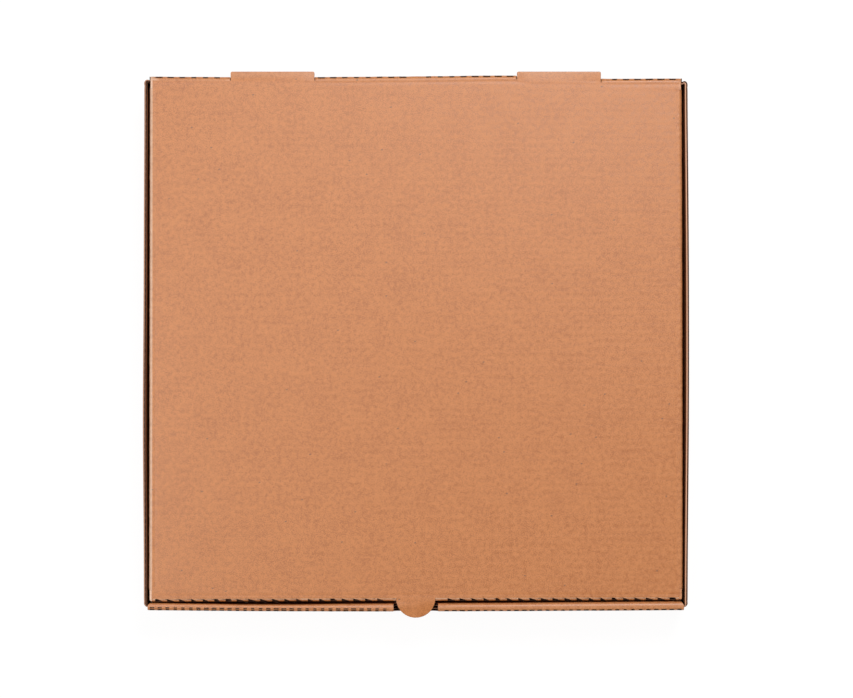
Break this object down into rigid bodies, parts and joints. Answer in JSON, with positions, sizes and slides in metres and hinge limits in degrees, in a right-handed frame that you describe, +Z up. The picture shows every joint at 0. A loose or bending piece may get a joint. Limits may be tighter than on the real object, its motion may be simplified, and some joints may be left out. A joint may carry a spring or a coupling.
{
  "type": "pizza box",
  "caption": "Square pizza box of corrugated board with a hinged tuck-in lid, thumb tab, roll-over front wall and folded side walls.",
  "frame": {"origin": "middle of the closed box's footprint, on the surface it stands on", "axes": "+Z up, +Y towards the hinged rear wall, -Y towards the thumb tab, +X to the right seen from the front"},
  "size_m": [0.28, 0.2808, 0.04],
  "materials": {
    "kraft_board": "matte brown kraft liner"
  },
  "bodies": {
    "tray": {"tray": "kraft_board"},
    "lid": {"lid": "kraft_board"}
  },
  "joints": [
    {"name": "lid_hinge", "type": "hinge", "parent": "tray", "child": "lid", "pos_m": [0, 0.1371, 0.04], "axis": [-1, 0, 0], "range_deg": [0, 180]}
  ]
}
